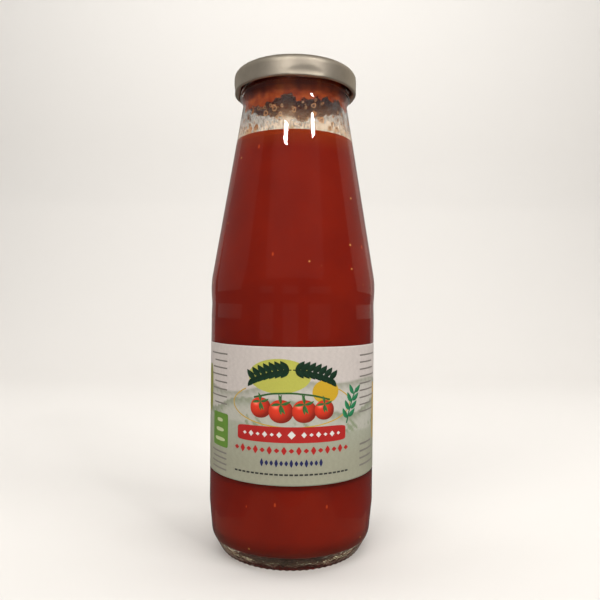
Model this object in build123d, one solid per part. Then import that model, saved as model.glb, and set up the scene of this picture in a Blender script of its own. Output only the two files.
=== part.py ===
from build123d import *
import math
import os

# A sealed bottle of passata: a clear glass bottle with a conical shoulder, its
# filling, a wrap-round paper label, and a four-lug twist-off steel lid with its
# sealing ring. Millimetres and degrees. +Z is up, the origin is the centre of the
# ring that the bottle stands on, and -Y is the front of the label. Heights are
# above the foot and depths are below the glass rim.

# Glass, body; the insets and the outset are from body_radius
glass_height = 221.0
body_radius = 38.46
foot_inset = 5.76
foot_width = 2.1
foot_edge_fillet = 0.8
push_up_margin = 3.6
push_up_edge_height = 2.4
push_up_rise = 2.2
push_up_fillet = 6.0
heel_knee_inset = 1.36
heel_knee_height = 7.8
heel_knee_fillet = 8.0
heel_height = 22.0
heel_fillet = 30.0
waist_inset = 0.2
waist_start_height = 107.0
waist_height = 113.5
waist_fillet = 16.0
shoulder_outset = 0.42
shoulder_height = 122.2
shoulder_fillet = 40.0

# Glass, neck and finish; the insets and outsets are from the finish's outside
bore_radius = 22.4
finish_wall = 3.2
rim_fillet = 1.2
neck_inset = 1.0
neck_depth = 14.3
neck_fillet = 4.0
flare_inset = 0.1
flare_depth = 11.7
bead_outset = 0.5
bead_depth = 10.4
bead_width = 1.5
bead_fillet = 0.4
thread_outset = 1.3
thread_height = 1.4
thread_sweep = 62.0
lead_count = 4

# Glass, inside
wall = 2.4
bore_fillet = 12.0
floor_thickness = 4.2
floor_margin = 3.0
inner_heel_drop = 1.6
inner_heel_fillet = 8.0

# Filling
fill_depth = 32.3
fill_clearance = 0.02

# Label
label_bottom = 38.0
label_height = 57.7
label_thickness = 0.12
label_overlap = 9.0

# Lid and seal
lid_height = 10.1
lid_steel = 0.22
lid_clearance = 1.78
lid_corner_fillet = 3.2
channel_overhang = 0.8
panel_step = 0.8
button_radius = 9.0
button_step = 0.5
curl_radius = 0.75
lug_depth = 1.1
lug_height = 1.1
lug_sweep = 26.0
lug_clearance = 0.1
first_lug_angle = -80.7
dent_depth = 0.35
seal_thickness = 0.8
seal_clearance = 0.08

# Worked out from the sizes above
foot_outer_radius = body_radius - foot_inset
foot_inner_radius = foot_outer_radius - foot_width
push_up_radius = foot_inner_radius - push_up_margin
shoulder_radius = body_radius + shoulder_outset
inner_radius = body_radius - wall
finish_radius = bore_radius + finish_wall
thread_radius = finish_radius + thread_outset
neck_radius = finish_radius - neck_inset
neck_height = glass_height - neck_depth
cone_angle = math.atan(
    (shoulder_radius - neck_radius) / (neck_height - shoulder_height)
)
fill_height = glass_height - fill_depth
lid_radius = thread_radius + lid_clearance + lid_steel
seal_top = glass_height + seal_thickness
lid_top = seal_top + lid_steel
lid_bottom = lid_top - lid_height
channel_inner_radius = bore_radius - channel_overhang
curl_centre_radius = lid_radius - curl_radius
curl_top = lid_bottom + 2 * curl_radius
lug_inner_radius = lid_radius - 2 * curl_radius - lug_depth
thread_bottom = lid_bottom + lug_height + lug_clearance
back_angle = 90.0


def turned(corners):
    """The solid turned about Z by an outline of (radius, height, fillet) corners.

    The outline starts and ends on the axis, or closes on itself if it does not.
    """
    points = [(radius, height) for radius, height, _ in corners]
    fillets = [fillet for _, _, fillet in corners]
    on_axis = points[0][0] == 0 and points[-1][0] == 0
    if on_axis:
        line = FilletPolyline(*points, radius=fillets[1:-1])
        line += Line(points[-1], points[0])
    else:
        line = FilletPolyline(*points, radius=fillets, close=True)
    return revolve(Plane.XZ * make_face(line), Axis.Z)


def ring(inner, outer, bottom, top):
    """A plain ring with a rectangular section."""
    corners = [(inner, bottom, 0), (outer, bottom, 0), (outer, top, 0), (inner, top, 0)]
    return turned(corners)


def ring_sector(inner, outer, bottom, top, middle_angle, sweep):
    """The part of a plain ring within sweep degrees, centred on middle_angle."""
    section = Plane.XZ * Pos((inner + outer) / 2, (bottom + top) / 2) * Rectangle(
        outer - inner, top - bottom
    )
    return Rot(0, 0, middle_angle - sweep / 2) * revolve(section, Axis.Z, sweep)


def lug_angles():
    """The places round the rim where a lid lug hooks under a glass thread."""
    return [first_lug_angle + 360 / lead_count * i for i in range(lead_count)]


def cavity_corners(clearance=0.0):
    """The inside of the glass, from the middle of its floor up to the bore."""
    cone_inside = shoulder_radius - wall / math.cos(cone_angle)
    slope = math.tan(cone_angle)
    shoulder_z = shoulder_height + (cone_inside - inner_radius) / slope
    bore_z = shoulder_height + (cone_inside - bore_radius) / slope
    floor_edge = push_up_edge_height + floor_thickness
    return [
        (0, floor_edge + push_up_rise + clearance, 0),
        (push_up_radius - floor_margin, floor_edge + clearance, push_up_fillet),
        (
            inner_radius - clearance,
            floor_edge - inner_heel_drop + clearance,
            inner_heel_fillet,
        ),
        (inner_radius - clearance, shoulder_z, shoulder_fillet),
        (bore_radius - clearance, bore_z, bore_fillet),
    ]


def bottle():
    """The glass: push-up base, straight label panel, cone, neck bead and finish."""
    heel_knee_radius = body_radius - heel_knee_inset
    bead_radius = finish_radius + bead_outset
    bead_middle = glass_height - bead_depth
    bead_bottom = bead_middle - bead_width / 2
    bead_top = bead_middle + bead_width / 2
    outside = [
        (0, push_up_edge_height + push_up_rise, 0),
        (push_up_radius, push_up_edge_height, push_up_fillet),
        (foot_inner_radius, 0, foot_edge_fillet),
        (foot_outer_radius, 0, foot_edge_fillet),
        (heel_knee_radius, heel_knee_height, heel_knee_fillet),
        (body_radius, heel_height, heel_fillet),
        (body_radius, waist_start_height, waist_fillet),
        (body_radius - waist_inset, waist_height, waist_fillet),
        (shoulder_radius, shoulder_height, shoulder_fillet),
        (neck_radius, neck_height, neck_fillet),
        (finish_radius - flare_inset, glass_height - flare_depth, bead_fillet),
        (bead_radius, bead_bottom, bead_fillet),
        (bead_radius, bead_top, bead_fillet),
        (finish_radius, bead_top, 0),
        (finish_radius, glass_height, rim_fillet),
        (bore_radius, glass_height, rim_fillet),
    ]
    glass = turned(outside + cavity_corners()[::-1])
    for angle in lug_angles():
        glass += ring_sector(
            bore_radius + rim_fillet,
            thread_radius,
            thread_bottom,
            thread_bottom + thread_height,
            angle,
            thread_sweep,
        )
    return glass


def passata():
    """The filling, from the floor of the glass up to its level in the cone."""
    corners = cavity_corners(fill_clearance)
    wall_radius, shoulder_z, _ = corners[3]
    level_radius = wall_radius - (fill_height - shoulder_z) * math.tan(cone_angle)
    return turned(corners[:4] + [(level_radius, fill_height, 0), (0, fill_height, 0)])


def label():
    """One turn of paper round the panel, with its end glued over its start."""
    outside = body_radius + label_thickness
    top = label_bottom + label_height
    overlap_sweep = math.degrees(label_overlap / outside)
    return ring(body_radius, outside, label_bottom, top) + ring_sector(
        outside, outside + label_thickness, label_bottom, top, back_angle, overlap_sweep
    )


def lid():
    """The pressed steel lid: channel, panel, button, skirt, curl and lugs."""
    panel_top = lid_top - panel_step
    button_top = panel_top - button_step
    inner_skirt = lid_radius - lid_steel
    steel = turned(
        [
            (0, button_top, 0),
            (button_radius, button_top, lid_steel),
            (button_radius + button_step, panel_top, lid_steel),
            (channel_inner_radius - panel_step, panel_top, lid_steel),
            (channel_inner_radius, lid_top, lid_steel),
            (lid_radius, lid_top, lid_corner_fillet),
            (lid_radius, lid_bottom + curl_radius, 0),
            (inner_skirt, lid_bottom + curl_radius, 0),
            (inner_skirt, seal_top, lid_corner_fillet - lid_steel),
            (channel_inner_radius + lid_steel, seal_top, 0),
            (channel_inner_radius - panel_step + lid_steel, panel_top - lid_steel, 0),
            (button_radius + button_step, panel_top - lid_steel, 0),
            (button_radius, button_top - lid_steel, 0),
            (0, button_top - lid_steel, 0),
        ]
    )
    curl_section = Pos(curl_centre_radius, lid_bottom + curl_radius) * Circle(curl_radius)
    steel += revolve(Plane.XZ * curl_section, Axis.Z)
    for angle in lug_angles():
        steel += ring_sector(
            lug_inner_radius,
            curl_centre_radius,
            lid_bottom,
            lid_bottom + lug_height,
            angle,
            lug_sweep,
        )
        steel -= ring_sector(
            lid_radius - dent_depth,
            lid_radius + dent_depth,
            lid_bottom - curl_radius,
            curl_top,
            angle,
            lug_sweep,
        )
    return steel


def lid_seal():
    """The flat ring of sealing compound that beds the lid on the glass rim."""
    inner = channel_inner_radius + lid_steel + seal_clearance
    outer = lid_radius - lid_corner_fillet - seal_clearance
    return ring(inner, outer, glass_height, seal_top)


pieces = {
    "glass_bottle": bottle,
    "passata": passata,
    "label": label,
    "lid": lid,
    "lid_seal": lid_seal,
}
os.makedirs("parts", exist_ok=True)
for node, make in pieces.items():
    export_step(make(), f"parts/{node}.step")
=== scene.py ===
import math

import bmesh
import bpy
import numpy as np
from mathutils import Matrix


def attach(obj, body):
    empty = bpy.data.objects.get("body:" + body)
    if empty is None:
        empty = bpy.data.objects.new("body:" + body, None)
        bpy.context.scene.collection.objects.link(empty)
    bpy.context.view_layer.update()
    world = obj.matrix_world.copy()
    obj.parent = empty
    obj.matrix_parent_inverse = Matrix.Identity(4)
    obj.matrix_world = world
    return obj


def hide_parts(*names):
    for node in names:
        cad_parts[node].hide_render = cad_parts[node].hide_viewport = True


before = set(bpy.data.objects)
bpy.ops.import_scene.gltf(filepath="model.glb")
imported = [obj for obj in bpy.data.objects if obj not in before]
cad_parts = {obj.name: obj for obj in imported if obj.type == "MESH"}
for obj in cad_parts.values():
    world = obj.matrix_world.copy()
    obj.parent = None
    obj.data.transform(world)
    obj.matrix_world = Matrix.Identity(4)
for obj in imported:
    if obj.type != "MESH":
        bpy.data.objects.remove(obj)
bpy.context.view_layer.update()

# The studio: a pale sweep under and behind the bottle, a soft light high on each
# side, dim broad panels that show in the glass, and two small lamps that glint on
# the neck. The viewer is a forearm's length away, level with the bottle's waist.
MM = 0.001


def aimed(place, forward, roll):
    """A world matrix at place that looks along forward, rolled by roll radians.

    Right is forward turned a quarter turn about Z; up is square to both; the roll
    turns right towards up.
    """
    forward = np.array(forward) / np.linalg.norm(forward)
    right = np.cross(forward, (0.0, 0.0, 1.0))
    right /= np.linalg.norm(right)
    up = np.cross(right, forward)
    turned_right = right * math.cos(roll) + up * math.sin(roll)
    turned_up = up * math.cos(roll) - right * math.sin(roll)
    matrix = np.eye(4)
    matrix[:3, 0] = turned_right
    matrix[:3, 1] = turned_up
    matrix[:3, 2] = -forward
    matrix[:3, 3] = place
    return Matrix(matrix.tolist())


view_yaw = math.radians(0.677)
view_pitch = math.radians(0.19)
view_roll = math.radians(0.61)
eye = bpy.data.objects.new("eye", bpy.data.cameras.new("eye"))
eye.data.lens = 35.36
eye.data.clip_start = 0.01
eye.matrix_world = aimed(
    (0.0, -0.28224, 0.11604),
    (
        math.sin(view_yaw) * math.cos(view_pitch),
        math.cos(view_yaw) * math.cos(view_pitch),
        -math.sin(view_pitch),
    ),
    view_roll,
)
bpy.context.collection.objects.link(eye)
bpy.context.scene.camera = eye
bpy.context.scene.view_settings.view_transform = "Standard"


def soft_light(name, place, target, width, height, watts, tint, mirrored=True):
    """An area light of width by height metres at place that faces target.

    One that is not mirrored lights the pieces but shows in no reflection.
    """
    lamp = bpy.data.lights.new(name, "AREA")
    lamp.shape = "RECTANGLE"
    lamp.size = width
    lamp.size_y = height
    lamp.energy = watts
    lamp.color = tint
    holder = bpy.data.objects.new(name, lamp)
    holder.matrix_world = aimed(place, np.subtract(target, place), 0.0)
    holder.visible_transmission = False
    holder.visible_camera = False
    holder.visible_glossy = mirrored
    bpy.context.collection.objects.link(holder)


middle = (0.0, 0.0, 0.11)
neck_front = (0.0, -0.025, 0.185)
soft_light("high_left", (-0.60, -0.75, 0.95), middle, 0.5, 0.5, 5.0, (1.0, 0.97, 0.92), False)
soft_light("high_right", (0.85, -0.55, 0.85), middle, 0.5, 0.5, 6.0, (1.0, 0.98, 0.95), False)
soft_light("ceiling_glow", (0.0, -0.55, 1.35), middle, 1.8, 0.40, 1.1, (1.0, 0.96, 0.90))
soft_light("floor_glow", (0.0, -0.04, -0.25), middle, 1.2, 1.2, 0.40, (1.0, 0.66, 0.40))
soft_light("rear_glow", (0.0, 0.90, 0.50), middle, 2.0, 1.2, 1.8, (1.0, 0.93, 0.85))
soft_light("side_left", (-1.23, 0.22, 0.85), middle, 1.7, 1.8, 1.2, (1.0, 0.95, 0.88))
soft_light("side_right", (1.08, 0.62, 0.85), middle, 1.4, 1.8, 1.7, (1.0, 0.90, 0.74))
soft_light("wall_above", (0.05, -1.35, 0.85), middle, 2.4, 0.8, 0.50, (1.0, 0.94, 0.90))
panel_height = 0.19
panel_watts_per_area = 0.30
panel_tint = (1.0, 0.92, 0.88)
for side, width in ((-0.78, 0.45), (-0.06, 0.40), (0.80, 0.75)):
    panel_watts = panel_watts_per_area * width * panel_height
    soft_light("wall_panel", (side, -1.1, 0.10), middle, width, panel_height, panel_watts, panel_tint)
sweep_behind = (0.0, 0.8, 0.3)
soft_light("backdrop_light", (0.0, 0.1, 1.3), sweep_behind, 1.2, 0.4, 12.0, (1.0, 0.985, 0.965), False)
soft_light("lamp_left", (-0.31, -0.96, 0.865), neck_front, 0.12, 0.05, 2.6, (1.0, 0.97, 0.93))
soft_light("lamp_right", (0.61, -0.80, 0.865), neck_front, 0.10, 0.05, 2.4, (1.0, 0.97, 0.94))


def material(name):
    """A new node material and its Principled shader."""
    made = bpy.data.materials.new(name)
    made.use_nodes = True
    return made, made.node_tree.nodes["Principled BSDF"]


def node(made, kind, values=None, **settings):
    """A node of that kind in a material or world, with sockets and settings set by name."""
    new = made.node_tree.nodes.new(kind)
    for setting, value in settings.items():
        setattr(new, setting, value)
    for socket, value in (values or {}).items():
        new.inputs[socket].default_value = value
    return new


def join(made, source, target):
    """A link from one socket to another."""
    made.node_tree.links.new(source, target)


world = bpy.data.worlds.new("room")
bpy.context.scene.world = world
world.use_nodes = True
room = world.node_tree.nodes["Background"]
room.inputs["Color"].default_value = (1.0, 0.98, 0.95, 1.0)
room.inputs["Strength"].default_value = 0.09
seen_room = node(world, "ShaderNodeBackground", {"Color": (1.0, 0.985, 0.965, 1.0), "Strength": 0.85})
ray = node(world, "ShaderNodeLightPath")
seen = node(world, "ShaderNodeMath", operation="MAXIMUM")
room_mix = node(world, "ShaderNodeMixShader")
world_out = world.node_tree.nodes["World Output"]
join(world, ray.outputs["Is Camera Ray"], seen.inputs[0])
join(world, ray.outputs["Is Transmission Ray"], seen.inputs[1])
join(world, seen.outputs["Value"], room_mix.inputs["Fac"])
join(world, room.outputs["Background"], room_mix.inputs[1])
join(world, seen_room.outputs["Background"], room_mix.inputs[2])
join(world, room_mix.outputs["Shader"], world_out.inputs["Surface"])


def grid_faces(rows, columns, wrap):
    """Quads between neighbouring points of a rows by columns grid.

    With wrap, the last column joins the first. Each quad runs forward along its
    own row and back along the next.
    """
    r, c = np.meshgrid(
        np.arange(rows - 1), np.arange(columns if wrap else columns - 1), indexing="ij"
    )
    d = (c + 1) % columns
    quads = np.stack(
        [r * columns + c, r * columns + d, (r + 1) * columns + d, (r + 1) * columns + c],
        axis=-1,
    )
    return quads.reshape(-1, 4)


def surface(name, points, quads, smooth=True):
    """A mesh object at the origin from an (n, 3) array of metres and (m, 4) quads.

    A quad that names one point twice in a row, at a pole, becomes a triangle.
    """
    mesh = bpy.data.meshes.new(name)
    pole = quads[:, 2] == quads[:, 3]
    faces = quads[~pole].tolist() + quads[pole][:, :3].tolist()
    mesh.from_pydata(points.tolist(), [], faces)
    mesh.polygons.foreach_set("use_smooth", np.full(len(mesh.polygons), smooth))
    mesh.update()
    piece = bpy.data.objects.new(name, mesh)
    bpy.context.collection.objects.link(piece)
    return piece


sweep_half_width = 2.2
sweep_front = -1.4
sweep_bend_start = 0.55
sweep_bend_radius = 0.45
sweep_top = 1.8
bend = np.linspace(0.0, math.pi / 2, 25)
sweep_line = np.concatenate(
    [
        [(sweep_front, 0.0)],
        np.stack(
            [
                sweep_bend_start + sweep_bend_radius * np.sin(bend),
                sweep_bend_radius * (1 - np.cos(bend)),
            ],
            axis=1,
        ),
        [(sweep_bend_start + sweep_bend_radius, sweep_top)],
    ]
)
sweep_paint, sweep_shader = material("sweep_paint")
sweep_shader.inputs["Base Color"].default_value = (0.72, 0.705, 0.685, 1.0)
sweep_shader.inputs["Roughness"].default_value = 0.9
left_edge = np.insert(sweep_line, 0, -sweep_half_width, axis=1)
right_edge = np.insert(sweep_line, 0, sweep_half_width, axis=1)
sweep = surface(
    "sweep",
    np.concatenate([left_edge, right_edge]),
    grid_faces(2, len(sweep_line), False)[:, ::-1],
)
sweep.data.materials.append(sweep_paint)
sweep.visible_glossy = False

# The bottle is one piece of clear soda-lime glass: a pushed-up base on a knurled
# foot ring, a straight panel for the label, a shallow waist, a cone, and a moulded
# finish with a bead and four short thread leads that hold the lid.
glass_height = 221.0
body_radius = 38.46
wall = 2.4
bore_radius = 22.4
finish_radius = 25.6
foot_inner_radius = 30.6
foot_outer_radius = 32.7
push_up_radius = 27.0
push_up_edge = 2.4
push_up_centre = 4.6
floor_thickness = 4.2
floor_inset = 3.0
floor_edge_drop = 1.6
heel_inset = 1.36
heel_height = 7.8
panel_start = 22.0
waist_start = 107.0
waist_height = 113.5
waist_depth = 0.2
shoulder_radius = 38.88
shoulder_height = 122.2
neck_radius = 24.6
neck_height = 206.7
bead_undercut = 0.1
bead_proud = 0.5
bead_low = 209.3
bead_high = 209.85
finish_start = 211.35
rim_fillet = 1.2
bore_top_drop = 1.3
bore_rows = 12
cone_slope = (shoulder_radius - neck_radius) / (neck_height - shoulder_height)
cone_inside = shoulder_radius - wall / math.cos(math.atan(cone_slope))
inner_radius = body_radius - wall
glass_columns = 360
knurls = 72
knurl_height = 0.35
knurl_radius = 32.3
knurl_half_width = 1.5
knurl_top = 2.2
lead_angles = np.radians(-80.7 + 90.0 * np.arange(4))
lead_sweep = math.radians(62.0)
lead_middle = 213.9
lead_rise = 0.8
lead_half_width = 0.75
lead_depth = 1.25


def rounded(corners, arc_steps, longest_run):
    """The polyline through (radius, height, fillet) corners, each corner rounded.

    A corner's arc touches both its sides at fillet / tan(half the corner's angle)
    from it, and is cut into arc_steps. Straight runs are cut to longest_run.
    """
    corners = np.array(corners, float)
    line = [corners[:1, :2]]
    for before, corner, after in zip(corners, corners[1:], corners[2:]):
        inward = before[:2] - corner[:2]
        onward = after[:2] - corner[:2]
        inward /= np.linalg.norm(inward)
        onward /= np.linalg.norm(onward)
        half = math.acos(np.clip(inward @ onward, -1, 1)) / 2
        if corner[2] == 0 or math.cos(half) < 1e-6:
            line.append(corner[None, :2])
            continue
        centre = corner[:2] + (inward + onward) * (
            corner[2] / math.sin(half) / np.linalg.norm(inward + onward)
        )
        start = corner[:2] + inward * corner[2] / math.tan(half) - centre
        end = corner[:2] + onward * corner[2] / math.tan(half) - centre
        first = math.atan2(start[1], start[0])
        sweep_angle = math.atan2(
            start[0] * end[1] - start[1] * end[0], start[0] * end[0] + start[1] * end[1]
        )
        angle = first + sweep_angle * np.linspace(0, 1, arc_steps + 1)
        line.append(centre + corner[2] * np.stack([np.cos(angle), np.sin(angle)], axis=1))
    line.append(corners[-1:, :2])
    line = np.concatenate(line)
    length = np.linalg.norm(np.diff(line, axis=0), axis=1)
    line = line[np.concatenate([[True], length > 1e-6])]
    length = length[length > 1e-6]
    cuts = np.maximum(np.ceil(length / longest_run).astype(int), 1)
    run = np.repeat(np.arange(len(cuts)), cuts)
    share = (np.arange(len(run)) - np.repeat(np.cumsum(cuts) - cuts, cuts)) / cuts[run]
    cut = line[run] + (line[run + 1] - line[run]) * share[:, None]
    return np.concatenate([cut, line[-1:]])


def around(columns):
    """Angles of the columns of a turned grid, in radians, as a row."""
    return np.linspace(0, 2 * math.pi, columns, endpoint=False)[None, :]


def spun(line, columns):
    """Radius and height grids of a (radius, height) line, one row for each point."""
    return np.repeat(line[:, :1], columns, axis=1), np.repeat(line[:, 1:], columns, axis=1)


def turned_points(radius, height, angle):
    """Grid points at a distance from the axis, a height and an angle, mm to m."""
    radius, height, angle = np.broadcast_arrays(radius, height, angle)
    points = np.stack([radius * np.cos(angle), radius * np.sin(angle), height], axis=-1)
    return points.reshape(-1, 3) * MM


def closed_turn(radius, height, angle):
    """Points and quads of a turned closed skin that starts and ends on the axis.

    radius and height are (rows, columns) or (rows, 1) grids whose first and last
    rows lie on the axis; each of those becomes one point.
    """
    radius, height, angle = np.broadcast_arrays(radius, height, angle)
    rows, columns = radius.shape
    points = turned_points(radius[1:-1], height[1:-1], angle[1:-1])
    first, last = len(points), len(points) + 1
    ends = np.array([[0, 0, height[0].mean() * MM], [0, 0, height[-1].mean() * MM]])
    quads = grid_faces(rows - 2, columns, True)
    c = np.arange(columns)
    d = (c + 1) % columns
    base = (rows - 3) * columns
    start_fan = np.stack([np.full(columns, first), d, c, c], axis=1)
    end_fan = np.stack([base + c, base + d, np.full(columns, last), np.full(columns, last)], axis=1)
    return np.concatenate([points, ends]), np.concatenate([start_fan, quads, end_fan])


def cavity_corners(reach):
    """The inside of the glass from the middle of its floor to the bore.

    reach moves it that far into the wall, along the radius and down.
    """
    edge = push_up_edge + floor_thickness
    return [
        (0, push_up_centre + floor_thickness - reach, 0),
        (push_up_radius - floor_inset, edge - reach, 6.0),
        (inner_radius + reach, edge - floor_edge_drop - reach, 8.0),
        (
            inner_radius + reach,
            shoulder_height + (cone_inside - inner_radius) / cone_slope,
            40.0,
        ),
        (bore_radius + reach, shoulder_height + (cone_inside - bore_radius) / cone_slope, 12.0),
    ]


def bump(x):
    """A smooth hill of height 1 at x = 0 that reaches 0 at x = -1 and x = 1."""
    return np.where(np.abs(x) < 1, (1 - np.clip(x, -1, 1) ** 2) ** 2, 0)


def past_lead(angle, lead_angle):
    """The turn from a thread lead's middle to each angle, at most half a turn."""
    return (angle - lead_angle + math.pi) % (2 * math.pi) - math.pi


body_line = rounded(
    [
        (0, push_up_centre, 0),
        (push_up_radius, push_up_edge, 6.0),
        (foot_inner_radius, 0, 0.8),
        (foot_outer_radius, 0, 0.8),
        (body_radius - heel_inset, heel_height, 8.0),
        (body_radius, panel_start, 30.0),
        (body_radius, waist_start, 16.0),
        (body_radius - waist_depth, waist_height, 16.0),
        (shoulder_radius, shoulder_height, 40.0),
        (neck_radius, neck_height, 4.0),
        (finish_radius - bead_undercut, bead_low, 0.4),
        (finish_radius + bead_proud, bead_high, 0.4),
        (finish_radius + bead_proud, finish_start, 0.4),
        (finish_radius, finish_start, 0.0),
    ],
    6,
    5.0,
)
finish_line = rounded(
    [
        (finish_radius, finish_start, 0),
        (finish_radius, glass_height, rim_fillet),
        (bore_radius, glass_height, rim_fillet),
        cavity_corners(0.0)[-1],
    ],
    6,
    0.6,
)
inside_line = rounded(
    cavity_corners(0.0) + [(bore_radius, glass_height - bore_top_drop, 0)], 8, 4.0
)[::-1]
inside_line = inside_line[inside_line[:, 1] < finish_line[-1, 1] - 0.05]
glass_line = np.concatenate([body_line, finish_line[1:], inside_line])
angle = around(glass_columns)
radius, height = spun(glass_line, glass_columns)
outer = (np.arange(len(glass_line)) < len(body_line) + len(finish_line) - bore_rows)[:, None]
for lead_angle in lead_angles:
    off = past_lead(angle, lead_angle)
    ridge = lead_middle + lead_rise * off / lead_sweep
    radius = radius + np.where(
        outer & (height > finish_start),
        lead_depth * bump((height - ridge) / lead_half_width) * bump(off / lead_sweep * 2) ** 0.25,
        0,
    )
on_foot = bump((glass_line[:, :1] - knurl_radius) / knurl_half_width)
knurled = on_foot * (glass_line[:, 1:] < knurl_top) * outer
height = height + knurled * knurl_height * np.abs(np.cos(angle * knurls / 2))
glass = surface("clear_glass_bottle", *closed_turn(radius, height, angle))


def own_place(made):
    """Where a point lies, in metres from the foot of the bottle's axis."""
    return node(made, "ShaderNodeTexCoord").outputs["Object"]


def own_height(made, place):
    """The height of a place socket, in metres above the table."""
    new = node(made, "ShaderNodeSeparateXYZ")
    join(made, place, new.inputs["Vector"])
    return new.outputs["Z"]


def share_between(made, value, start, end, interpolation="LINEAR"):
    """0 where value is at start, 1 where it is at end, and held beyond them."""
    new = node(
        made,
        "ShaderNodeMapRange",
        {"From Min": start, "From Max": end},
        interpolation_type=interpolation,
    )
    join(made, value, new.inputs["Value"])
    return new.outputs["Result"]


def noise(made, place, scale, detail, roughness=0.5):
    """A Noise Texture of that scale per metre, read at a place socket."""
    new = node(
        made,
        "ShaderNodeTexNoise",
        {"Scale": scale, "Detail": detail, "Roughness": roughness},
    )
    join(made, place, new.inputs["Vector"])
    return new.outputs["Fac"]


def computed(made, operation, first, second=0.0, third=0.0):
    """A Math node of sockets or numbers."""
    new = node(made, "ShaderNodeMath", operation=operation)
    for socket, value in enumerate((first, second, third)):
        if isinstance(value, (int, float)):
            new.inputs[socket].default_value = value
        else:
            join(made, value, new.inputs[socket])
    return new.outputs["Value"]


def mixed(made, factor, first, second):
    """A colour mix: first where factor is 0, second where it is 1; sockets or colours."""
    new = node(made, "ShaderNodeMix", data_type="RGBA")
    join(made, factor, new.inputs["Factor"])
    for socket, value in ((6, first), (7, second)):
        if isinstance(value, tuple):
            new.inputs[socket].default_value = (*value, 1.0)
        else:
            join(made, value, new.inputs[socket])
    return new.outputs[2]


def bumped(made, shader, height_socket, distance, strength=1.0):
    """Lifts the shader's surface by height times distance metres, by a Bump node."""
    new = node(made, "ShaderNodeBump", {"Distance": distance, "Strength": strength})
    join(made, height_socket, new.inputs["Height"])
    join(made, new.outputs["Normal"], shader.inputs["Normal"])


glass_colour = (0.955, 0.975, 0.95)
# Painted reflection: the glass is tinted ochre in its lowest few millimetres, standing in for a warm
# wooden board seen in and through the foot.
painted_board_colour = (0.90, 0.78, 0.50)
foot_tint_top = 0.0075
foot_tint_full = 0.0040
clear_glass, glass_shader = material("clear_soda_glass")
glass_shader.inputs["Base Color"].default_value = (*glass_colour, 1.0)
glass_shader.inputs["Roughness"].default_value = 0.0
glass_shader.inputs["IOR"].default_value = 1.5
glass_shader.inputs["Transmission Weight"].default_value = 1.0
glass_place = own_place(clear_glass)
near_foot = share_between(
    clear_glass,
    own_height(clear_glass, glass_place),
    foot_tint_top,
    foot_tint_full,
    "SMOOTHSTEP",
)
painted_board_tint = mixed(clear_glass, near_foot, glass_colour, painted_board_colour)
join(clear_glass, painted_board_tint, glass_shader.inputs["Base Color"])
ripple = computed(clear_glass, "MULTIPLY", near_foot, noise(clear_glass, glass_place, 260.0, 3.0))
waves = computed(
    clear_glass, "MULTIPLY_ADD", noise(clear_glass, glass_place, 38.0, 0.0), 0.05, ripple
)
bumped(clear_glass, glass_shader, waves, 0.0009)
glass_out = clear_glass.node_tree.nodes["Material Output"]
lamp_pass = node(clear_glass, "ShaderNodeBsdfTransparent", {"Color": (0.92, 0.94, 0.92, 1.0)})
by_ray = node(clear_glass, "ShaderNodeMixShader")
shadow_ray = node(clear_glass, "ShaderNodeLightPath").outputs["Is Shadow Ray"]
join(clear_glass, shadow_ray, by_ray.inputs["Fac"])
join(clear_glass, glass_shader.outputs["BSDF"], by_ray.inputs[1])
join(clear_glass, lamp_pass.outputs["BSDF"], by_ray.inputs[2])
join(clear_glass, by_ray.outputs["Shader"], glass_out.inputs["Surface"])
glass.data.materials.append(clear_glass)
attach(glass, "root")
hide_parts("glass_bottle")

# The passata: dense sieved tomato, hot-filled, dark brownish red, with a few seed
# crumbs and shreds of skin in it. It wets the glass, so its outside lies just
# within the wall, and it stands a little higher where it meets the wall.
fill_height = 188.7
wet_reach = 0.15
meniscus = 0.7
meniscus_reach = 0.8
surface_rings = 40
surface_ripple = 0.25
passata_columns = 192
level_inside = cone_inside - (fill_height - shoulder_height) * cone_slope
passata_line = rounded(
    cavity_corners(wet_reach)[:4] + [(level_inside + wet_reach, fill_height + meniscus, 0)], 10, 2.5
)
surface_radius = np.linspace(level_inside + wet_reach, 0.0, surface_rings)[1:]
surface_rise = meniscus * np.exp((surface_radius - level_inside) / meniscus_reach)
surface_line = np.stack([surface_radius, fill_height + surface_rise], axis=1)
passata_line = np.concatenate([passata_line, surface_line])
angle = around(passata_columns)
radius, height = spun(passata_line, passata_columns)
on_top = height > fill_height - 0.01
inward = radius / level_inside
height = height + on_top * surface_ripple * (1 - inward**6) * (
    np.sin(3 * angle + 9 * inward) + 0.6 * np.sin(5 * angle - 14 * inward)
) * inward
passata = surface("passata_filling", *closed_turn(radius, height, angle))


def ramp(made, source, stops):
    """The colour that source gives on (position, colour or grey level) stops."""
    new = node(made, "ShaderNodeValToRGB")
    elements = new.color_ramp.elements
    while len(elements) < len(stops):
        elements.new(0.5)
    for element, (position, colour) in zip(elements, stops):
        element.position = position
        element.color = (*colour, 1.0) if isinstance(colour, tuple) else (colour, colour, colour, 1.0)
    join(made, source, new.inputs["Fac"])
    return new.outputs["Color"]


sauce, sauce_shader = material("sieved_tomato")
sauce_place = own_place(sauce)
cloud = ramp(
    sauce,
    noise(sauce, sauce_place, 45.0, 4.0),
    [(0.3, (0.158, 0.006, 0.0011)), (0.7, (0.205, 0.0098, 0.0018))],
)


def crumbs(made, place, scale, size, share):
    """1 on round spots about size cells wide, in that share of the cells, else 0."""
    cells = node(made, "ShaderNodeTexVoronoi", {"Scale": scale, "Randomness": 1.0})
    join(made, place, cells.inputs["Vector"])
    parts = node(made, "ShaderNodeSeparateColor")
    join(made, cells.outputs["Color"], parts.inputs["Color"])
    near = computed(made, "LESS_THAN", cells.outputs["Distance"], size)
    chosen = computed(made, "LESS_THAN", parts.outputs["Red"], share)
    return computed(made, "MULTIPLY", near, chosen)


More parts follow.
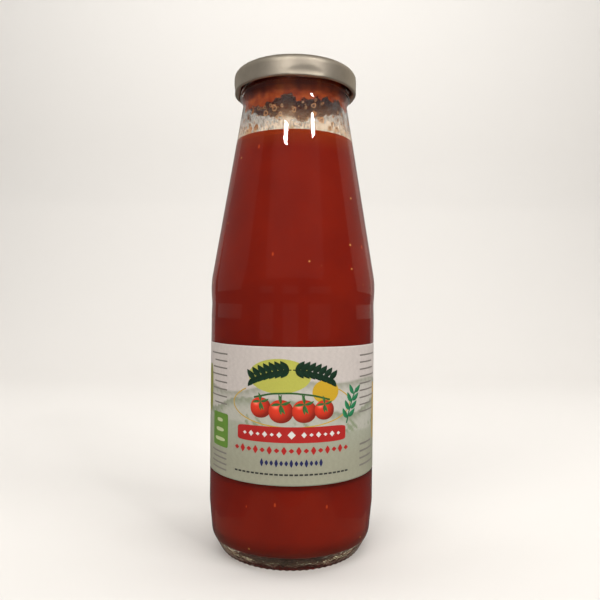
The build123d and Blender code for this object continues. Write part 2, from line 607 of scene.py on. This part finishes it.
def stretched(made, place, scale, rotation=(0.0, 0.0, 0.0)):
    """A place socket scaled along X, Y and Z, then turned."""
    new = node(made, "ShaderNodeMapping", {"Scale": scale, "Rotation": rotation})
    join(made, place, new.inputs["Vector"])
    return new.outputs["Vector"]


skin_shred = (0.42, 0.045, 0.008)
seed_crumb = (0.62, 0.28, 0.07)
top_of_fill_colour = (0.222, 0.024, 0.0031)
shred_place = stretched(sauce, sauce_place, (1.0, 0.8, 0.5), (0.5, 0.9, 0.4))
shreds = crumbs(sauce, shred_place, 260.0, 0.13, 0.16)
seeds = crumbs(sauce, sauce_place, 170.0, 0.08, 0.16)
# The sauce turns lighter and more orange towards the top of the fill.
near_top = share_between(sauce, own_height(sauce, sauce_place), 0.181, 0.1895)
with_shreds = mixed(sauce, shreds, cloud, skin_shred)
with_seeds = mixed(sauce, seeds, with_shreds, seed_crumb)
with_top = mixed(sauce, near_top, with_seeds, top_of_fill_colour)
join(sauce, with_top, sauce_shader.inputs["Base Color"])
sauce_shader.inputs["Roughness"].default_value = 0.35
sauce_shader.inputs["Specular IOR Level"].default_value = 0.03
passata.data.materials.append(sauce)
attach(passata, "root")
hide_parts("passata")

# The headspace: hot filling left a skin of sauce on the glass under the lid, with a
# ragged lower edge, thin brown runs below it, and drops and burst bubbles that
# dried with an ochre rim. All of it is stuck to the inside of the glass.
cling_columns = 360
cling_rows = 80
cling_reach = 0.08
edge_height = 202.6
edge_rise_behind = 2.7
inside_upwards = inside_line[::-1]
cling_height = np.linspace(fill_height - 0.2, glass_height - 1.4, cling_rows)[:, None]
angle = around(cling_columns)


def inside_radius(height):
    """The inside radius of the glass at heights above its heel, in mm."""
    return np.interp(height, inside_upwards[:, 1], inside_upwards[:, 0])


def ragged(angle, phases):
    """A sum of eight sines of the angle, lower as their waves get shorter."""
    waves = np.array([2, 3, 5, 7, 11, 17, 26, 37])[:, None, None]
    heights = np.array([1.0, 0.9, 0.9, 0.8, 0.6, 0.5, 0.4, 0.3])[:, None, None]
    return (heights * np.sin(waves * angle + phases[:, None, None])).sum(axis=0)


random = np.random.default_rng(7)
cling_wander = ragged(angle, random.uniform(0, 2 * math.pi, 8)) * (0.75 - 0.25 * np.sin(angle))
cling_edge = edge_height + edge_rise_behind * (1 + np.sin(angle)) + cling_wander
cling = surface(
    "clinging_sauce",
    turned_points(inside_radius(cling_height) + cling_reach, cling_height, angle),
    grid_faces(cling_rows, cling_columns, True)[:, ::-1],
)
above_edge = cling.data.attributes.new("above_edge", "FLOAT", "POINT")
above_edge.data.foreach_set("value", (cling_height - cling_edge).ravel().astype(np.float32))

dried, dried_shader = material("dried_sauce")
dried_place = own_place(dried)
how_high = node(dried, "ShaderNodeAttribute", attribute_name="above_edge").outputs["Fac"]


def multiplied(made, first, second):
    """The product of two colour sockets."""
    new = node(made, "ShaderNodeMix", {"Factor": 1.0}, data_type="RGBA", blend_type="MULTIPLY")
    join(made, first, new.inputs[6])
    join(made, second, new.inputs[7])
    return new.outputs[2]


fine_edge = computed(
    dried,
    "MULTIPLY_ADD",
    computed(dried, "SUBTRACT", noise(dried, dried_place, 560.0, 6.0, 0.7), 0.5),
    7.5,
    how_high,
)
skin = ramp(
    dried,
    computed(dried, "MULTIPLY_ADD", fine_edge, 0.1, 0.5),
    [(0.48, 0.0), (0.53, 1.0)],
)
runs_place = stretched(dried, dried_place, (1.0, 1.0, 0.45))
veins = ramp(
    dried,
    noise(dried, runs_place, 900.0, 6.0, 0.7),
    [(0.47, 0.0), (0.53, 0.9), (0.60, 0.3)],
)
patchy = ramp(dried, noise(dried, dried_place, 160.0, 3.0), [(0.38, 0.15), (0.55, 1.0)])
streaks = computed(dried, "MULTIPLY", veins, patchy)
haze = ramp(
    dried,
    computed(dried, "MULTIPLY_ADD", fine_edge, 0.05, 1.0),
    [(0.40, 0.46), (0.66, 0.24), (0.97, 0.24)],
)
below = computed(dried, "MAXIMUM", computed(dried, "MULTIPLY", streaks, 0.75), haze)
cover = computed(dried, "MAXIMUM", computed(dried, "MULTIPLY", skin, 0.96), below)
# Partly painted shade: the skin darkens going up towards the lid, for its thicker layer and for the
# lid's shade over it.
thicker_and_shaded = ramp(
    dried,
    computed(dried, "MULTIPLY", how_high, 0.1),
    [(0.40, 1.0), (0.95, (0.30, 0.12, 0.12))],
)
skin_colour = ramp(
    dried,
    noise(dried, dried_place, 260.0, 4.0),
    [(0.3, (0.20, 0.022, 0.002)), (0.55, (0.30, 0.042, 0.004)), (0.75, (0.40, 0.075, 0.007))],
)
thick_shaded_skin = multiplied(dried, skin_colour, thicker_and_shaded)
# Partly painted light and shade: the thin residue haze is painted pale beige near the fill, for the
# lit backdrop showing through the glass, and near black just under the skin, for the dim inside seen
# through it.
haze_lit_and_shaded_colour = ramp(
    dried,
    computed(dried, "MULTIPLY_ADD", fine_edge, 0.05, 1.0),
    [(0.40, (0.95, 0.66, 0.42)), (0.64, (0.45, 0.22, 0.11)), (0.88, (0.080, 0.020, 0.018))],
)
lower_colour = mixed(dried, streaks, haze_lit_and_shaded_colour, (0.10, 0.032, 0.010))
film_colour = mixed(dried, skin, lower_colour, thick_shaded_skin)
join(dried, film_colour, dried_shader.inputs["Base Color"])
join(dried, cover, dried_shader.inputs["Alpha"])
dried_shader.inputs["Roughness"].default_value = 0.4
dried_shader.inputs["Specular IOR Level"].default_value = 0.2
cling.data.materials.append(dried)
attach(cling, "root")

drop_count = 190
drop_rings = 5
drop_columns = 14
smallest_drop = 0.26
drop_spread = 0.95
open_share = 0.75
drop_dome = 0.30
drop_sunk = 0.06
random = np.random.default_rng(21)
drop_angle = random.uniform(0, 2 * math.pi, drop_count)[:, None, None]
drop_height = random.uniform(fill_height + 1.5, edge_height + 1.0, drop_count)[:, None, None]
drop_size = (smallest_drop + drop_spread * random.random(drop_count) ** 2)[:, None, None]
drop_long = random.uniform(0.9, 1.7, drop_count)[:, None, None]
drop_open = (random.random(drop_count) < open_share)[:, None, None]
ring_share = np.linspace(0, 1, 2 * drop_rings + 1)[None, :, None]
spoke = np.linspace(0, 2 * math.pi, drop_columns, endpoint=False)[None, None, :]
lobed = 1 + 0.16 * np.sin(2 * spoke + 5 * drop_angle) + 0.1 * np.sin(3 * spoke + 3 * drop_height)
share_out = 1 - np.abs(2 * ring_share - 1)
out = drop_size * lobed * share_out
across = out * np.cos(spoke)
up = out * np.sin(spoke) * drop_long
z = drop_height + up
dome = drop_dome * drop_size * np.sqrt(np.clip(1 - share_out**2, 0, 1))
proud = np.where(ring_share <= 0.5, -drop_sunk, dome - drop_sunk * share_out) + 0 * spoke
r = inside_radius(z) - proud
turn = drop_angle + across / r
drop_points = (np.stack([r * np.cos(turn), r * np.sin(turn), z], axis=-1) * MM).reshape(-1, 3)
faces_of_one = grid_faces(2 * drop_rings + 1, drop_columns, True)
drop_starts = np.arange(drop_count) * (2 * drop_rings + 1) * drop_columns
drop_quads = (faces_of_one[None] + drop_starts[:, None, None]).reshape(-1, 4)
drops = surface("dried_drops", drop_points, drop_quads)
rim = np.broadcast_to(np.where(drop_open, share_out, 1.0), r.shape)
drop_rim = drops.data.attributes.new("rim", "FLOAT", "POINT")
drop_rim.data.foreach_set("value", rim.ravel().astype(np.float32))
welded = bmesh.new()
welded.from_mesh(drops.data)
bmesh.ops.remove_doubles(welded, verts=welded.verts, dist=0.000001)
bmesh.ops.recalc_face_normals(welded, faces=welded.faces)
welded.to_mesh(drops.data)
welded.free()

ochre, ochre_shader = material("ochre_drops")
rim_colour = ramp(
    ochre,
    node(ochre, "ShaderNodeAttribute", attribute_name="rim").outputs["Fac"],
    [(0.55, (0.12, 0.040, 0.020)), (0.78, (0.78, 0.42, 0.17)), (1.0, (0.50, 0.18, 0.05))],
)
join(ochre, rim_colour, ochre_shader.inputs["Base Color"])
ochre_shader.inputs["Roughness"].default_value = 0.35
drops.data.materials.append(ochre)
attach(drops, "root")

# The label: one sheet of coated paper, printed in soft colours, glued round the
# straight panel, its end lapped 9 mm over its start at the back. The ground is pale
# grey-pink sky over rolling sage fields.
label_bottom = 38.0
label_height = 57.7
label_thickness = 0.08
label_overlap = 9.0
label_round = 2 * math.pi * body_radius
sheet_columns = 460
sheet_rows = 96
sheet_length = label_round + label_overlap
sheet_start = -sheet_length / 2
lap_rise = 1.5
back_grey = 0.7


def on_label(across, up, proud):
    """Points on the label's outside, proud mm off it, from mm across and up.

    across is measured round the body from the middle of the front.
    """
    angle = across / body_radius - math.pi / 2
    distance = body_radius + label_thickness + proud
    return turned_points(distance, label_bottom + up, angle)


def blend(edge, soft):
    """0 below -soft, 1 above soft, and a smooth step between, of an edge distance."""
    x = np.clip(edge / (2 * soft) + 0.5, 0, 1)
    return x * x * (3 - 2 * x)


def over(ground, colour, share):
    """A ground colour grid with a colour laid on it by a share grid."""
    return ground + (np.array(colour) - ground) * share[..., None]


across = np.linspace(sheet_start, sheet_start + sheet_length, sheet_columns)[None, :]
up = np.linspace(0, label_height, sheet_rows)[:, None]
across, up = np.broadcast_arrays(across, up)
ground = np.zeros(across.shape + (3,)) + (0.60, 0.545, 0.515)
turnwise = across / body_radius
far_hill = 41.0 + 2.6 * np.sin(2 * turnwise + 0.6) + 1.3 * np.sin(5 * turnwise + 2.0)
near_hill = 33.0 + 3.4 * np.sin(3 * turnwise + 2.4) + 1.0 * np.sin(7 * turnwise)
field = 22.5 + 2.6 * np.sin(2 * turnwise + 3.6) + 0.9 * np.sin(9 * turnwise + 1.0)
mottle = np.sin(1.9 * across + 2.2 * np.sin(0.7 * up))
mottle = mottle * np.sin(1.3 * up + 1.7 * np.sin(0.45 * across))
clumps = np.sin(0.9 * across + 2.6 * np.sin(0.31 * across)) + np.sin(1.7 * across + 1.9 * up)
ground = over(ground, (0.31, 0.32, 0.25), blend(far_hill - up, 0.5) * 0.9)
ground = over(ground, (0.58, 0.55, 0.51), blend(far_hill - 2.0 - up - 0.4 * clumps, 2.4) * 0.85)
ground = over(ground, (0.26, 0.29, 0.20), blend(near_hill - up - 0.25 * clumps, 0.5) * 0.9)
ground = over(ground, (0.52, 0.51, 0.45), blend(near_hill - 2.6 - up - 0.4 * clumps, 2.4) * 0.85)
shrubs = blend(clumps + np.sin(0.29 * across) - 0.6 - np.abs(up - field - 1.8) / 1.6, 0.4)
ground = over(ground, (0.18, 0.25, 0.115), shrubs * 0.7)
ground = over(ground, (0.37, 0.39, 0.30), blend(field - up, 0.7) * 0.85)
ground = over(ground, (0.34, 0.335, 0.245), blend(16.0 - up, 9.0) * 0.85)
ground = ground * (1 + 0.035 * mottle[..., None])
lap = np.clip((across - (sheet_start + label_round)) / lap_rise + 1, 0, 1)
sheet_outside = np.stack([across, up, lap * label_thickness], axis=-1).reshape(-1, 3)
sheet_inside = sheet_outside - (0.0, 0.0, label_thickness)
outside_quads = grid_faces(sheet_rows, sheet_columns, False)
inside_quads = outside_quads[:, ::-1] + len(sheet_outside)
corner = np.arange(sheet_rows * sheet_columns).reshape(sheet_rows, sheet_columns)
border = np.concatenate([corner[0, :-1], corner[:-1, -1], corner[-1, :0:-1], corner[:0:-1, 0]])
onward = np.roll(border, -1)
border_below = border + len(sheet_outside)
onward_below = onward + len(sheet_outside)
border_quads = np.stack([onward, border, border_below, onward_below], axis=1)
sheet = surface(
    "paper_label",
    np.concatenate([on_label(*sheet_outside.T), on_label(*sheet_inside.T)]),
    np.concatenate([outside_quads, inside_quads, border_quads]),
)


def coloured(piece, name, colours):
    """Gives a piece's points a colour attribute from an (n, 3) array."""
    layer = piece.data.color_attributes.new(name, "FLOAT_COLOR", "POINT")
    rgba = np.ones((len(colours), 4), np.float32)
    rgba[:, :3] = colours
    layer.data.foreach_set("color", rgba.ravel())


back_colours = np.full((len(sheet_inside), 3), back_grey)
coloured(sheet, "ink", np.concatenate([ground.reshape(-1, 3), back_colours]))


def printed_paper(name, roughness):
    """Coated paper that takes its colour from the ink attribute, with fine fibres."""
    paper, shader = material(name)
    ink = node(paper, "ShaderNodeAttribute", attribute_name="ink").outputs["Color"]
    place = own_place(paper)
    fibre = ramp(paper, noise(paper, place, 1800.0, 3.0), [(0.3, 0.93), (0.7, 1.0)])
    join(paper, multiplied(paper, ink, fibre), shader.inputs["Base Color"])
    shader.inputs["Roughness"].default_value = roughness
    bumped(paper, shader, noise(paper, place, 700.0, 4.0), 0.00001, 0.3)
    return paper


sheet.data.materials.append(printed_paper("coated_paper", 0.42))
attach(sheet, "root")
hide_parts("label")

# The print on the label: a leafy garland, a truss of small tomatoes on its vine, a
# red ribbon with lozenges, rows of small ornaments and plain rules. Each motif is a
# thin film of ink laid on the paper, one layer over the next.
ink_step = 0.007
leaf_green = (0.005, 0.026, 0.012)
stem_green = (0.035, 0.12, 0.03)
herb_green = (0.012, 0.16, 0.062)
tomato_red = (0.66, 0.030, 0.006)
ribbon_red = (0.46, 0.012, 0.010)
navy = (0.012, 0.018, 0.11)
rule_black = (0.03, 0.03, 0.03)
rule_grey = (0.22, 0.20, 0.18)
lemon_green = (0.50, 0.50, 0.085)
golden = (0.60, 0.37, 0.015)
white_ink = (0.75, 0.73, 0.70)
square_green = (0.13, 0.27, 0.035)
pale_green = (0.50, 0.55, 0.30)
olive = (0.30, 0.31, 0.045)
stroke_steps = 60
stroke_smoothing = 9
print_points, print_quads, print_colours = [], [], []


def inked(x, y, colour, layer):
    """Adds a (rows, columns) grid of label places in mm, in one or many colours."""
    rows, columns = x.shape
    start = sum(len(points) for points in print_points)
    print_points.append(on_label(x.ravel(), y.ravel(), ink_step * layer))
    print_quads.append(grid_faces(rows, columns, False)[:, ::-1] + start)
    print_colours.append(np.broadcast_to(colour, (rows, columns, 3)).reshape(-1, 3))


def leaf(x, y, length, width, heading, curl, colour, layer):
    """A leaf from its stalk at (x, y), s running from 0 at the stalk to 1 at the tip.

    It is width * sin(pi s)^0.8 wide, fuller near the stalk. Its middle line turns by
    curl from its heading, and one half is lighter.
    """
    s = np.linspace(0, 1, 11)[:, None]
    t = np.linspace(-1, 1, 5)[None, :]
    half = width / 2 * np.clip(np.sin(math.pi * s), 0, None) ** 0.8 * (1.15 - 0.4 * s)
    way = heading + curl * s
    along = heading + curl * s / 2
    gx = x + length * s * np.cos(along) - t * half * np.sin(way)
    gy = y + length * s * np.sin(along) + t * half * np.cos(way)
    lighter = 1 + 0.9 * blend(t, 0.1) * (0.4 + 0.6 * s)
    inked(gx, gy, np.array(colour) * lighter[..., None], layer)


def plate(x, y, wide, tall, colour, layer, power=2.0, shade=None):
    """A filled superellipse |a/wide|^power + |b/tall|^power = 1 about (x, y).

    Its columns stand closer together towards its two ends, as a sine does.
    """
    a = np.sin(np.linspace(-math.pi / 2, math.pi / 2, 9 + 2 * int(2 * wide)))[:, None]
    t = np.linspace(-1, 1, 15 if shade else 3)[None, :]
    b = t * np.clip(1 - np.abs(a) ** power, 0, None) ** (1 / power)
    tone = np.array(colour) if shade is None else shade(a, b, np.array(colour))
    inked(x + wide * a + 0 * t, y + tall * b, tone, layer)


def stroke(xs, ys, width, colour, layer):
    """A ribbon of that width along a line of points, square to it."""
    steps = np.linspace(0, 1, stroke_steps)
    knots = np.linspace(0, 1, len(xs))
    x, y = np.interp(steps, knots, xs), np.interp(steps, knots, ys)
    kernel = np.ones(stroke_smoothing) / stroke_smoothing
    x = np.convolve(np.pad(x, stroke_smoothing // 2, "edge"), kernel, "valid")
    y = np.convolve(np.pad(y, stroke_smoothing // 2, "edge"), kernel, "valid")
    dx, dy = np.gradient(x), np.gradient(y)
    size = np.hypot(dx, dy) + 1e-9
    side = np.array([-0.5, 0.5])[None, :] * width
    edge_x = x[:, None] - side * (dy / size)[:, None]
    edge_y = y[:, None] + side * (dx / size)[:, None]
    inked(edge_x, edge_y, colour, layer)


def bar(x0, x1, y0, y1, colour, layer):
    """A plain bar, cut along its length so that it follows the curve."""
    x = np.linspace(x0, x1, max(2, int(abs(x1 - x0)) + 2))[:, None]
    y = np.array([y0, y1])[None, :]
    inked(*np.broadcast_arrays(x, y), colour, layer)


def ripe(a, b, colour):
    """A round fruit's tone: light towards its upper left, dark at its lower right."""
    light = np.clip(1 - ((a + 0.3) ** 2 + (b - 0.3) ** 2) / 1.5, 0, 1)[..., None]
    glint = np.exp(-((a + 0.42) ** 2 / 0.05 + (b - 0.38) ** 2 / 0.02))[..., None]
    return colour * (0.38 + 0.85 * light) + np.array([0.35, 0.22, 0.16]) * glint


def tomato(x, y, size, layer):
    """A small tomato with its five-pointed calyx."""
    plate(x, y, size, size * 0.93, tomato_red, layer, 2.15, ripe)
    for k in range(5):
        way = math.pi * (0.47 * k - 0.44)
        leaf(x, y + size * 0.55, size * 0.85, size * 0.26, way, 0.5, stem_green, layer + 1)


for side in (-1, 1):
    for k in range(7):
        x = side * (1.2 + 2.45 * k)
        y = 48.2 - 0.016 * x * x
        leaf(x, y, 5.4, 2.7, math.pi / 2 - side * 1.05, side * 0.5, leaf_green, 3)
        leaf(x, y, 5.0, 2.5, -math.pi / 2 + side * 1.0, -side * 0.4, leaf_green, 3)
    stem = np.linspace(0, 19, 9)
    stroke(side * stem, 48.2 - 0.016 * stem**2, 0.5, leaf_green, 4)
plate(-5.5, 45.5, 13.5, 7.2, lemon_green, 1)
plate(14.5, 39.0, 6.0, 5.0, golden, 2)
oval = np.linspace(0.12, 0.88, 40) * 2 * math.pi + math.pi / 2
stroke(27.5 * np.cos(oval), 33.5 + 9.5 * np.sin(oval), 0.45, golden, 2)
stroke([-17, -9, 0, 9, 17], [36.2, 38.2, 38.6, 37.6, 35.4], 0.75, stem_green, 5)
truss = ((-13.4, 32.2, 4.6), (-4.6, 30.9, 5.2), (5.2, 31.0, 5.1), (13.9, 31.4, 4.4))
for k, (x, y, size) in enumerate(truss):
    stroke([x * 0.97, x], [38.0 - 0.006 * x * x, y + size * 0.5], 0.5, stem_green, 5)
    tomato(x, y, size, 6 + 2 * k)
stroke([25, 26.5, 28.5, 31], [24.5, 30, 35, 39.5], 0.7, herb_green, 5)
for k in range(4):
    leaf(25.6 + 1.25 * k, 27 + 3.3 * k, 5.2, 2.2, 2.35, -0.5, herb_green, 6)
    leaf(25.9 + 1.25 * k, 27.6 + 3.3 * k, 5.2, 2.2, 0.35, 0.6, herb_green, 6)
plate(0, 21.2, 24.5, 3.3, ribbon_red, 7, 9.0)
plate(0, 21.2, 1.7, 1.7, white_ink, 8, 1.0)
for side in (-1, 1):
    for k in range(6):
        wide, tall = 1.15 - 0.25 * (k % 2), 1.25 - 0.5 * (k % 2)
        plate(side * (5.2 + 3.1 * k), 21.2, wide, tall, white_ink, 8, 1.0)
for k in range(-8, 9):
    plate(3.1 * k, 14.6, 1.15, 1.75 if k % 2 else 1.0, ribbon_red, 7, 1.15)
for k in range(-6, 7):
    plate(2.1 * k, 9.4, 0.75, 1.15 if k % 3 else 1.7, navy, 7, 1.2)
for k in range(-12, 13):
    bar(2.1 * k - 0.75, 2.1 * k + 0.75, 4.3, 5.0, rule_black, 7)
plate(-37.0, 20.0, 6.4, 7.4, square_green, 7, 14.0)
for k in range(3):
    plate(-37.0, 15.8 + 4.2 * k, 4.2 - 0.9 * k, 0.8, pale_green, 8, 3.0)
plate(-49.0, 37.0, 3.4, 11.0, olive, 5, 3.0)
plate(49.5, 27.0, 1.6, 13.0, golden, 5, 4.0)
for side, first, last in ((-1, 31.5, 47.0), (1, 33.5, 50.0)):
    for k in range(9):
        y = 53.0 - 3.1 * k
        if side < 0 and y < 28.5:
            continue
        bar(side * first, side * (last - 2.2 * (k * 5 % 3)), y, y + 0.62, rule_grey, 7)
for k in range(4):
    bar(34.0, 49.0 - 3 * (k % 2), 4.6 + 3.1 * k, 5.4 + 3.1 * k, rule_grey, 7)
    bar(-44.0 - (k % 2), -31.5, 2.6 + 2.4 * k, 3.3 + 2.4 * k, rule_grey, 7)
for x in (68.0, -68.0):
    plate(x, 29.5, 13.5, 21.5, white_ink, 2, 16.0)
    plate(x, 45.0, 10.5, 2.2, ribbon_red, 4, 10.0)
    for k in range(11):
        bar(x - 11.0, x + 11.0 - 3.0 * (k * 7 % 4) / 2, 39.0 - 2.6 * k, 39.6 - 2.6 * k, rule_grey, 5)
for x in (95.0, -95.0):
    tomato(x, 34.0, 5.0, 6)
    for side in (-1, 1):
        leaf(x + side * 3, 40, 8.0, 3.2, math.pi / 2 - side * 0.9, side * 0.5, leaf_green, 4)
print_mesh = surface("label_print", np.concatenate(print_points), np.concatenate(print_quads))
coloured(print_mesh, "ink", np.concatenate(print_colours))
print_mesh.data.materials.append(printed_paper("printing_ink", 0.38))
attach(print_mesh, "root")

# The lid: tinplate 0.22 mm thick, clear-lacquered over a satin finish, pressed to a
# flat panel with a raised rim and a safety button, its skirt rolled to a curl. Four
# lugs are pressed in at the curl and hook under the thread leads of the glass.
lid_radius = 28.9
seal_thickness = 0.8
lid_steel = 0.22
lid_top = glass_height + seal_thickness + lid_steel
lid_height = 10.1
lid_bottom = lid_top - lid_height
panel_top = lid_top - 0.8
button_top = panel_top - 0.5
button_radius = 9.0
button_edge = 9.5
panel_radius = 20.8
channel_radius = 21.6
curl = 1.5
curl_fillet = 0.7
lug_half_sweep = math.radians(17.0)
lug_reach = 1.0
lug_top = 1.6
lug_dent = 0.35
dent_middle = 1.9
dent_end_height = 0.8
dent_swell = 2.3
dent_top = 5.5
skirt_inside = 27.0
lid_columns = 360
seal_top = glass_height + seal_thickness
lid_line = rounded(
    [
        (0, button_top, 0),
        (button_radius, button_top, 0.25),
        (button_edge, panel_top, 0.25),
        (panel_radius, panel_top, 0.35),
        (channel_radius, lid_top, 0.35),
        (lid_radius, lid_top, 3.2),
        (lid_radius, lid_bottom + curl + 0.1, 0.3),
        (lid_radius - 0.02, lid_bottom, 0.72),
        (lid_radius - curl, lid_bottom, curl_fillet),
        (lid_radius - curl, lid_bottom + curl, curl_fillet),
        (lid_radius - lid_steel, lid_bottom + curl, 0.1),
        (lid_radius - lid_steel, seal_top, 2.9),
        (channel_radius + lid_steel, seal_top, 0.1),
        (panel_radius + lid_steel, panel_top - lid_steel, 0.2),
        (button_edge, panel_top - lid_steel, 0.1),
        (button_radius, button_top - lid_steel, 0.1),
        (0, button_top - lid_steel, 0),
    ],
    6,
    0.7,
)
angle = around(lid_columns)
radius, height = spun(lid_line, lid_columns)
on_skirt = (radius > skirt_inside) & (height < lid_bottom + dent_top)
for lead_angle in lead_angles:
    off = past_lead(angle, lead_angle)
    arch = bump(off / lug_half_sweep) ** 0.5
    dent = bump((height - lid_bottom - dent_middle) / (dent_end_height + dent_swell * arch))
    on_lug = (radius < lid_radius - curl_fillet) & (height < lid_bottom + lug_top)
    pressed = lug_dent * arch * dent
    hooked = lug_reach * arch * on_lug
    radius = radius - np.where(on_skirt, pressed + hooked, 0)
lid = surface("twist_off_lid", *closed_turn(radius[::-1], height[::-1], angle))

tinplate, tin_shader = material("satin_tinplate")
tin_place = own_place(tinplate)
tin_tone = ramp(
    tinplate,
    noise(tinplate, tin_place, 220.0, 5.0),
    [(0.3, (0.75, 0.67, 0.55)), (0.7, (0.84, 0.75, 0.625))],
)
join(tinplate, tin_tone, tin_shader.inputs["Base Color"])
tin_shader.inputs["Metallic"].default_value = 1.0
tin_rough = ramp(
    tinplate,
    noise(tinplate, tin_place, 1500.0, 4.0),
    [(0.3, 0.48), (0.7, 0.56)],
)
join(tinplate, tin_rough, tin_shader.inputs["Roughness"])
bumped(tinplate, tin_shader, noise(tinplate, tin_place, 1900.0, 3.0), 0.00002, 0.7)
lid.data.materials.append(tinplate)
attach(lid, "root")
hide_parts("lid")

# The seal: a flat ring of soft cream sealing compound, poured into the lid's channel
# and squeezed between the lid and the rim of the glass.
seal_cream, seal_shader = material("sealing_compound")
seal_place = own_place(seal_cream)
seal_tone = ramp(
    seal_cream,
    noise(seal_cream, seal_place, 400.0, 3.0),
    [(0.3, (0.50, 0.44, 0.36)), (0.7, (0.58, 0.52, 0.43))],
)
join(seal_cream, seal_tone, seal_shader.inputs["Base Color"])
seal_shader.inputs["Roughness"].default_value = 0.7
bumped(seal_cream, seal_shader, noise(seal_cream, seal_place, 900.0, 2.0), 0.00003)
seal_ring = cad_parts["lid_seal"]
for slot in seal_ring.material_slots:
    slot.material = seal_cream
